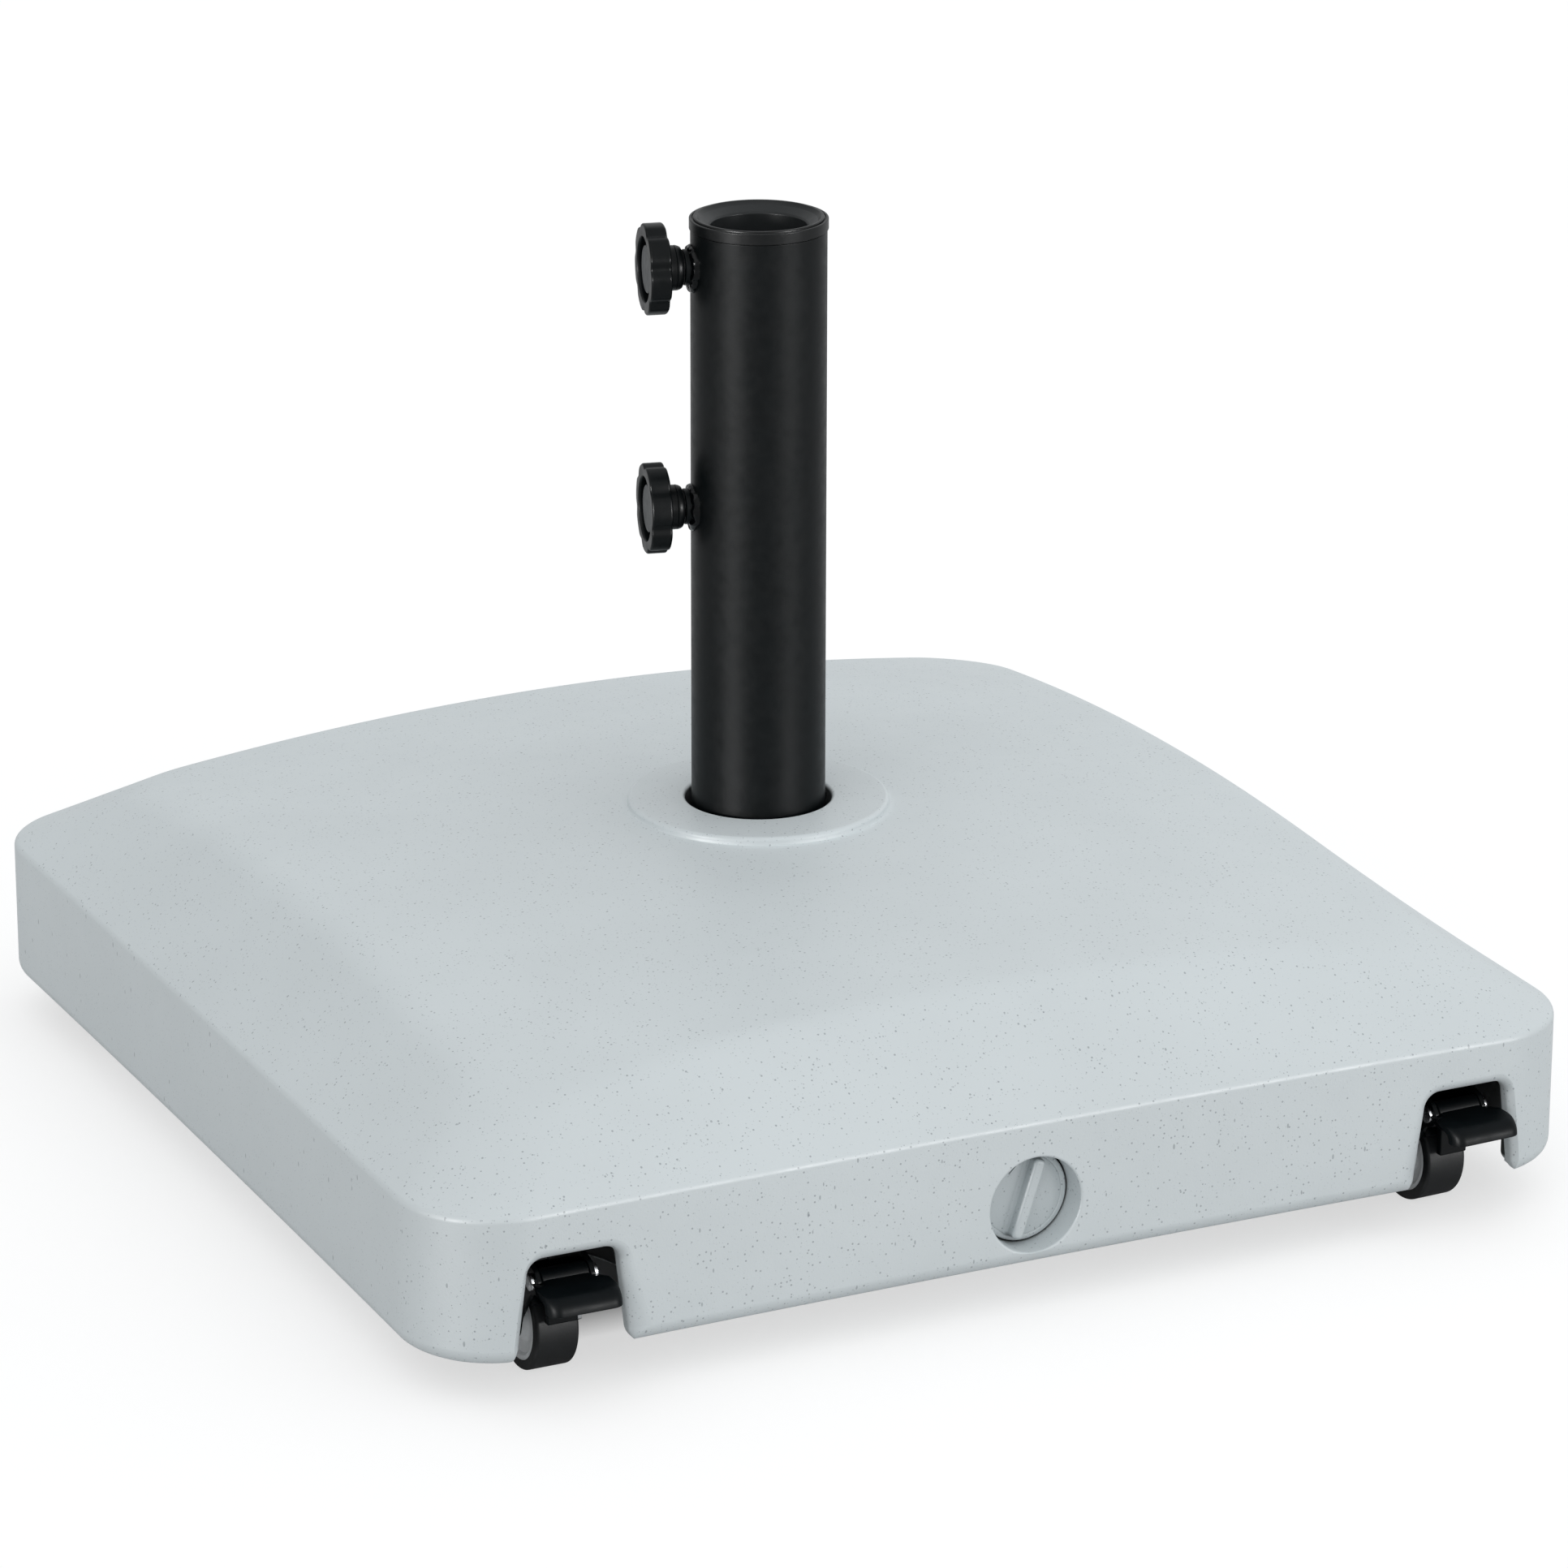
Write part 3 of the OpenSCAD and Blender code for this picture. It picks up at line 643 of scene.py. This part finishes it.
def tank():
    recess = moved(dish(RECESS_R, PLUG_FACE + 5, 0.9), PLUG_PLACE)
    neck = moved(dish(NECK_R, 40, 0.5), PLUG_PLACE)
    flange_recess = prism(rounded_rectangle(FLANGE_HALF, FLANGE_HALF, 6), LIFT - 12, FLANGE_TOP)
    tools = [recess, neck, flange_recess]
    for x in (-CASTER, CASTER):
        for y in (-CASTER, CASTER):
            tools.append(moved(dish(POCKET_R, CEILING - UNDER, 2.5), shift(x, y, UNDER)))
    for x in (-CASTER, CASTER):
        tools += [notch_tool(x), space_behind_notch(x)]
    shell = cut(to_mesh("tank_shell", tank_skin()), *tools)
    piece("tank_shell", shell, "base", TANK, "tank", sharp_from=35)


# ---------------------------------------------------------------- mast and clamps
def mast():
    tube = rounded([(MAST_IN, FLANGE_TOP, 0), (MAST_R, FLANGE_TOP, 0), (MAST_R, MAST_TOP, 0.3),
                    (MAST_IN, MAST_TOP, 0.3)], 3)
    piece("mast", lathe(tube, 192), "base", COAT, "mast_tube")


def cap():
    """A skirt inside the tube, a flange over its end with a stepped lip, and a funnel down to the socket."""
    skirt = [(SOCKET_R, -9.6, 0.5), (25.7, -9.6, 0.3), (25.7, -0.1, 0), (27.2, -0.1, 0), (27.2, 0.35, 0)]
    flange = [(28.1, 0.35, 0.2), (28.1, 4.75, 0.35), (27.1, 4.8, 0.15), (26.9, 4.3, 0.1), (26.5, 4.3, 0.1)]
    lip = [(26.4, 5.4, 0.45), (25.2, 5.4, 0.6)]
    funnel = [(23.8, 3.9, 1.2), (20.2, 1.9, 0.6), (SOCKET_R, 1.2, 0.5)]
    section = rounded(skirt + flange + lip + funnel, 4)
    piece("cap", moved(lathe(section, 192), shift(0, 0, MAST_TOP)), "base", CAP, "mast_cap")


def knob_head(own_turn):
    """Seven broad lobes with short shallow hollows, and a groove round the disc in the middle."""
    lobes, hollow, steps = 7, 1.5, 280
    neck = ((4.1, 32), (7.9, 32), (8.4, 32.3), (8.8, 33.0), (9.1, 34.0), (9.1, 34.6), (8.9, 34.8),
            (9.1, 35.0), (9.1, 38.0), (9.4, 38.5), (10.1, 38.7))
    rounded_edge = arc(-1.1, 39.8, 1.1, -90, 0, 5) + arc(-0.9, 46.4, 0.9, 0, 90, 5)
    groove = ((13.9, 47.3), (13.5, 47.15), (13.25, 46.7), (13.2, 46.0), (13.2, 43.0), (12.8, 42.8),
              (10.1, 42.8), (9.8, 43.0), (9.8, 45.25), (4.1, 45.25))
    # the section as (share of the lobed outline, offset from it, z); the neck and the groove are round
    section = [(0, r, z) for r, z in neck]
    section += [(1, r, z) for r, z in rounded_edge]
    section += [(0, r, z) for r, z in groove]
    turns = [2 * math.pi * k / steps for k in range(steps)]
    lobed = [KNOB_R - hollow * (0.5 + 0.5 * math.cos(lobes * t)) ** 4 for t in turns]
    rings = []
    for share, offset, z in section:
        radii = [offset + share * r for r in lobed]
        rings.append([(r * math.cos(t + own_turn), r * math.sin(t + own_turn), z)
                      for r, t in zip(radii, turns)])
    return loft(rings, closed=True)


def weld(seed):
    """An uneven bead round the nut, heavier below, lying on the tube."""
    steps, across, inside = 144, 16, 26.2

    def on_tube(y):
        return math.sqrt(MAST_R ** 2 - min(abs(y), 26) ** 2)

    rings = []
    for a in (2 * math.pi * k / steps for k in range(steps)):
        ca, sa = math.cos(a), math.sin(a)
        outer = 9.3 + 0.8 * noise.noise(Vector((2.2 * ca + seed, 2.2 * sa, 1))) + 1.0 * max(0, ca) ** 2
        crest = 29.3 + 0.8 * noise.noise(Vector((2.6 * ca + seed, 2.6 * sa, 5)))
        foot = on_tube(outer * sa) - 0.25
        ring = [(NUT_R * ca, NUT_R * sa, inside)]
        for t in quarter(across):
            r = NUT_R + (outer - NUT_R) * math.sin(t) ** 0.9
            z = foot + (crest - foot) * math.cos(t) ** 0.8
            lump = 0.45 * noise.noise(Vector((0.55 * r * ca + seed, 0.55 * r * sa, 3))) * math.sin(2 * t)
            ring.append((r * ca, r * sa, z + lump))
        ring.append((outer * ca, outer * sa, on_tube(outer * sa) - 1.2))
        rings.append(ring)
    return loft(rings, closed=True)


def clamps():
    """Both knobs with their discs, and the nuts and welds on the tube; z runs out along each clamp screw."""
    disc = rounded([(AXIS, 45.3, 0), (9.7, 45.3, 0), (9.7, 46.1, 0.35), (6.9, 46.2, 0.2), (AXIS, 46.1, 0)], 4)
    nut = rounded([(4.1, 26.2, 0), (NUT_R, 26.2, 0), (NUT_R, 31.3, 0.6), (4.1, 31.3, 0.3)], 4)
    nuts, beads = [], []
    for name, (height, own_turn, body) in CLAMPS.items():
        at = shift(0, 0, height) @ turn(180 - KNOB_TURN, "Z") @ ACROSS
        knob = "knob_" + name
        piece(knob + "_head", moved(knob_head(own_turn), at), body, PLASTIC, knob)
        piece(knob + "_disc", moved(lathe(disc, 96), at), body, FACE, knob + "_face")
        nuts.append(moved(lathe(nut, 96), at))
        beads.append(moved(weld(height), at))
    piece("nuts", merge(*nuts), "base", COAT, "clamp_nuts")
    piece("welds", merge(*beads), "base", WELD, "weld_beads", sharp_from=80)


# ---------------------------------------------------------------- filler plug
def plug_grip():
    """A rib across the plug's face with a rounded top, and the fillet at its foot."""
    half_w, half_l, height, top_round = 2.5, 16.5, 4.6, 1.4
    outline = rounded_rectangle(half_w, half_l, 1.6, 5)
    # how far up, and how much smaller
    rib = [(-1, 0), (height, 0)]
    rib += [(height + top_round * math.sin(t), top_round * (1 - math.cos(t))) for t in quarter(5)[1:]]
    rib_rings = [[(x * (half_w - inset) / half_w, y * (half_l - inset) / half_l, PLUG_FACE - up)
                  for x, y in outline] for up, inset in rib]
    # how far up, and how much wider
    fillet = ((-0.8, 1.6), (0.02, 1.6), (0.25, 0.8), (0.8, 0.3), (1.6, 0.02))
    fillet_rings = [[(x * (half_w + grow) / half_w, y * (half_l + 0.3 * grow) / half_l, PLUG_FACE - up)
                     for x, y in outline] for up, grow in fillet]
    return moved(merge(loft(rib_rings), loft(fillet_rings)), turn(GRIP_LEAN, "Z"))


def plug():
    """A disc with a turned rim, a hollow neck behind it, the grip, and a small raised tick."""
    face, face_back, neck_r, neck_in, neck_end = PLUG_FACE, PLUG_FACE + 5, NECK_R - 0.06, 12, 31.5
    front = [(AXIS, face, 0), (16.2, face, 0), (16.8, face + 0.35, 0.2), (17.3, face, 0.2), (19.1, face, 0.9)]
    neck = [(19.1, face + 3.5, 0.3), (neck_r, face + 3.5, 0.2), (neck_r, neck_end, 0.5),
            (neck_in, neck_end, 0.3), (neck_in, face_back, 0.3), (AXIS, face_back, 0)]
    disc = rounded(front + neck, 4)
    tick = softened(prism(rectangle(-2.5, -0.6, 2.5, 0.6), face - 0.6, face + 0.5), 0.2, 2)
    tick = moved(tick, shift(-4.0, -11.2, 0) @ turn(-45, "Z"))
    whole = moved(merge(lathe(disc), plug_grip(), tick), PLUG_PLACE)
    piece("filler_plug", whole, "plug", PLUG, "plug")
    keep_cad("plug_seal", RUBBER, 0.2)


# ---------------------------------------------------------------- casters
def hub_side(side):
    """One side of the hub's section, as (r, offset, radius): a boss, a hollow and the rim."""
    return [(r, side * out, soft) for r, out, soft in
            ((7.0, HUB_HALF, 0.3), (7.6, 6.2, 0.8), (9.2, 6.2, 0.8), (13.2, 7.3, 0.6), (14.2, 8.5, 0.4),
             (16.0, 8.5, 0.1))]


def wheel(corner, at):
    half = TYRE_W / 2
    axis = at @ shift(0, -TRAIL, WHEEL_R) @ ACROSS
    tyre = rounded([(16.0, -half, 0.1), (17.2, -half, 0.5), (WHEEL_R, -half, 2.6), (WHEEL_R, half, 2.6),
                    (17.2, half, 0.5), (16.0, half, 0.1)], 7)
    piece("tyre_band_" + corner, moved(lathe(tyre), axis), "wheel_" + corner, RUBBER,
          "tyre_" + corner)
    hub = rounded([(3.06, -HUB_HALF, 0.2)] + hub_side(-1) + hub_side(1)[::-1] + [(3.06, HUB_HALF, 0.2)], 4)
    piece("hub_disc_" + corner, moved(lathe(hub, 96), axis), "wheel_" + corner, HUB,
          "hub_" + corner)


def cheek_outline(braked):
    """A fork's cheek from the side, in y and z; a braked one reaches forward to the pedal's pin."""
    if braked:
        front = [(-44, PIN_Z + 5, 3), (-47.5, PIN_Z + 1, 2), (-46.5, PIN_Z - 4, 3), (-40, PIN_Z - 6.5, 5)]
    else:
        front = [(-29, FORK_TOP - 3, 2), (-31, PIN_Z - 2, 4)]
    top = [(10, FORK_TOP, 1), (-24, FORK_TOP, 1)]
    foot = [(-29, WHEEL_R + 4, 8), (-TRAIL - 7.6, WHEEL_R - 4, 5), (-TRAIL, WHEEL_R - 8.2, 7),
            (-TRAIL + 7.6, WHEEL_R - 4, 5), (-8, WHEEL_R + 14, 9), (10, FORK_TOP - 9, 5)]
    return rounded(top + front + foot, 5)


def fork(corner, at, braked):
    """Two cheeks, a bridge with a race on top and, with a brake, a curved web over the front of the wheel."""
    cheek = cheek_outline(braked)
    parts = [moved(softened(prism(cheek, x, x + FORK_SHEET), 0.35, 2), SIDE_ON)
             for x in (-FORK_HALF, FORK_HALF - FORK_SHEET)]
    bridge_z = FORK_TOP - 3
    parts.append(softened(prism(rectangle(-FORK_HALF, -30, FORK_HALF, 10), bridge_z, FORK_TOP), 0.6))
    race = rounded([(4, bridge_z, 0), (17, bridge_z, 1.0), (17, FORK_TOP, 0.6), (4, FORK_TOP, 0)], 4)
    parts.append(lathe(race, 96))
    if braked:
        web = arc(-TRAIL, WHEEL_R, 22.4, 100, 145, 9) + arc(-TRAIL, WHEEL_R, 24.0, 145, 100, 9)
        parts.append(moved(prism(web, -10.2, 10.2), SIDE_ON))
    piece("fork_" + corner + "_shell", moved(merge(*parts), at), "swivel_" + corner, COAT,
          "fork_" + corner)


def pedal_section():
    """The pedal from the side, in y and z: a flat sheet, rolled down at the front edge."""
    top, sheet, roll_y, roll_out, roll_in = PEDAL_TOP, 2.5, -62.5, 6, 3.5
    front, axis_z = roll_y - roll_out, top - roll_out
    section = [(PIN_Y + 4, top), (-50, top + 0.1), (-57, top)]
    section += [(roll_y - roll_out * math.sin(t), axis_z + roll_out * math.cos(t)) for t in quarter(8)]
    section += [(front + back, top - down) for back, down in ((0.1, 6.2), (0.6, 6.5), (2.0, 6.5), (2.5, 6.2))]
    section += [(roll_y - roll_in * math.cos(t), axis_z + roll_in * math.sin(t)) for t in quarter(6)]
    return section + [(-57, top - sheet), (PIN_Y + 4, top - sheet)]


def share_between(value, start, end):
    """0 at start and before it, 1 at end and past it."""
    return max(0.0, min(1.0, (value - start) / (end - start)))


def pedal():
    """The pedal's sheet, narrow between the cheeks and wide in front, with rounded corners."""
    half, corner_r, slices, corner_drop = 15.0, 4.5, 44, 0.25
    rings = []
    for i in range(slices + 1):
        x = -half * math.cos(math.pi * i / slices)
        over = max(0.0, abs(x) - (half - corner_r))
        back = corner_r - math.sqrt(max(0.0, corner_r ** 2 - over ** 2))
        drop = corner_drop * (over / corner_r) ** 2
        ring = []
        for y, z in pedal_section():
            narrow = share_between(y, -54, -50) * (1 - HUB_HALF / half)
            ring.append((x * (1 - narrow), y + back * share_between(y, -50, -56), z - drop))
        rings.append(ring)
    return softened(loft(rings), 0.3, 2)


def brake(corner, at):
    """The pedal, its barrel round the pin, and the tongue that presses on the tyre."""
    bore, outside = 2.06, 4.6
    barrel = rounded([(bore, -HUB_HALF, 0), (outside, -HUB_HALF, 0.6), (outside, HUB_HALF, 0.6),
                      (bore, HUB_HALF, 0)], 4)
    tongue = prism(rectangle(-6.2, PIN_Y - 0.6, 6.2, PIN_Y + 2.6), LIFT + 9, PIN_Z)
    parts = merge(pedal(), moved(lathe(barrel, 64), shift(0, PIN_Y, PIN_Z) @ ACROSS), softened(tongue, 0.6))
    piece("pedal_" + corner + "_lever", moved(parts, at), "pedal_" + corner, LEVER,
          "brake_" + corner)


def caster(corner, side, end):
    """One caster; side is -1 for left and 1 for right, end is -1 for front and 1 for back."""
    at = shift(side * CASTER, end * CASTER, 0)
    if corner == "fr":
        at = at @ turn(FRONT_RIGHT_TURN, "Z")
    braked = end < 0
    wheel(corner, at)
    fork(corner, at, braked)
    if braked:
        brake(corner, at)
        keep_cad("brake_pin_" + corner, STEEL, 0.3, 3)
    keep_cad("axle_" + corner, STEEL, 0.4, 3)
    keep_cad("nut_" + corner, STEEL, 0.3)


# ---------------------------------------------------------------- floor, light and camera
def floor():
    """Pale paper that glows to the eye like a lit studio floor, but not deep under the tank."""
    size = 40.0  # in metres
    mesh = bpy.data.meshes.new("floor")
    mesh.from_pydata([(x * size, y * size, 0) for x, y in rectangle(-1, -1, 1, 1)], [], [(0, 1, 2, 3)])
    made, tree, surface, coords = new_material("floor_paper")
    cloud = noise_at(tree, coords, 900, 2)
    to_eye = mix(tree, ramp(tree, cloud, 0.3, 0.7), rgb(0.40, 0.40, 0.40), rgb(0.41, 0.41, 0.41))
    seen = tree.nodes.new("ShaderNodeLightPath").outputs["Is Camera Ray"]
    place = node(tree, "ShaderNodeSeparateXYZ", None, i0=coords).outputs
    out = maths(tree, "MAXIMUM", maths(tree, "ABSOLUTE", place[0]), maths(tree, "ABSOLUTE", place[1]))
    dark_to, lit_from = 0.165, 0.20  # in metres
    glow = maths(tree, "MULTIPLY", ramp(tree, out, dark_to, lit_from), seen)
    put(tree, surface, Roughness=1.0, Specular_IOR_Level=0.0,
        Base_Color=mix(tree, seen, rgb(0.70, 0.70, 0.70), to_eye),
        Emission_Color=rgb(1, 1, 1), Emission_Strength=ramp(tree, glow, 0, 1, 0, 0.62))
    mesh.materials.append(made)
    add_object("floor", mesh)


def studio():
    """A pale dome, brighter towards the front right."""
    world = bpy.data.worlds.new("studio")
    world.use_nodes = True
    tree = world.node_tree
    way = tree.nodes.new("ShaderNodeTexCoord").outputs["Generated"]
    brightest, dim, bright = (0.75, -0.55, 0.37), 0.45, 1.15
    towards = vector_maths(tree, "DOT_PRODUCT", way, brightest)
    put(tree, tree.nodes["Background"], Color=rgb(0.975, 0.99, 1.0),
        Strength=ramp(tree, towards, -1, 1, dim, bright))
    bpy.context.scene.world = world


def sky(name, from_way, strength, spread, sheen_only=False):
    """A far soft light; with sheen_only it shows in reflections but doesn't light matt surfaces."""
    light = bpy.data.lights.new(name, "SUN")
    light.energy = strength
    light.angle = math.radians(spread)
    obj = add_object(name, light)
    obj.rotation_mode = "QUATERNION"
    obj.rotation_quaternion = Vector(from_way).to_track_quat("Z", "Y")
    obj.visible_diffuse = not sheen_only


def camera():
    azimuth, elevation, roll = (math.radians(v) for v in (-25.639, 19.314, 0.130))
    distance, aside, above = 2.7595, 0.0106, 0.1131  # in metres, from the middle of the tank's foot
    back = Vector((math.sin(azimuth) * math.cos(elevation), -math.cos(azimuth) * math.cos(elevation),
                   math.sin(elevation)))
    right = Vector((math.cos(azimuth), math.sin(azimuth), 0))
    up = back.cross(right)
    at = back * distance + right * aside + up * above + Vector((0, 0, LIFT * MM))
    across = math.cos(roll) * right + math.sin(roll) * up
    upright = -math.sin(roll) * right + math.cos(roll) * up
    data = bpy.data.cameras.new("camera")
    data.sensor_width = 36.0
    data.lens = 151.31
    data.clip_end = 200.0
    obj = add_object("camera", data)
    obj.matrix_world = Matrix.Translation(at) @ Matrix((across, upright, back)).transposed().to_4x4()
    bpy.context.scene.camera = obj


# ---------------------------------------------------------------- the whole scene
tank()
mast()
cap()
clamps()
plug()
for name, side, end in (("fl", -1, -1), ("fr", 1, -1), ("rl", -1, 1), ("rr", 1, 1)):
    caster(name, side, end)
for name in ("flange_screws", "plate_screws", "kingpins", "screw_upper", "screw_lower"):
    keep_cad(name, STEEL, 0.2)
keep_cad("mast_flange", COAT, 0.4)
keep_cad("caster_plates", COAT, 0.4)

floor()
studio()
sky("overhead", (-0.50, -0.40, 0.77), 0.40, 50)
sky("strip_left", (-0.92, -0.37, 0.12), 6.5, 10, sheen_only=True)
sky("strip_right", (0.46, -0.87, 0.12), 4.0, 12, sheen_only=True)
camera()
bpy.context.scene.view_settings.view_transform = "Standard"
bpy.context.scene.view_settings.look = "None"
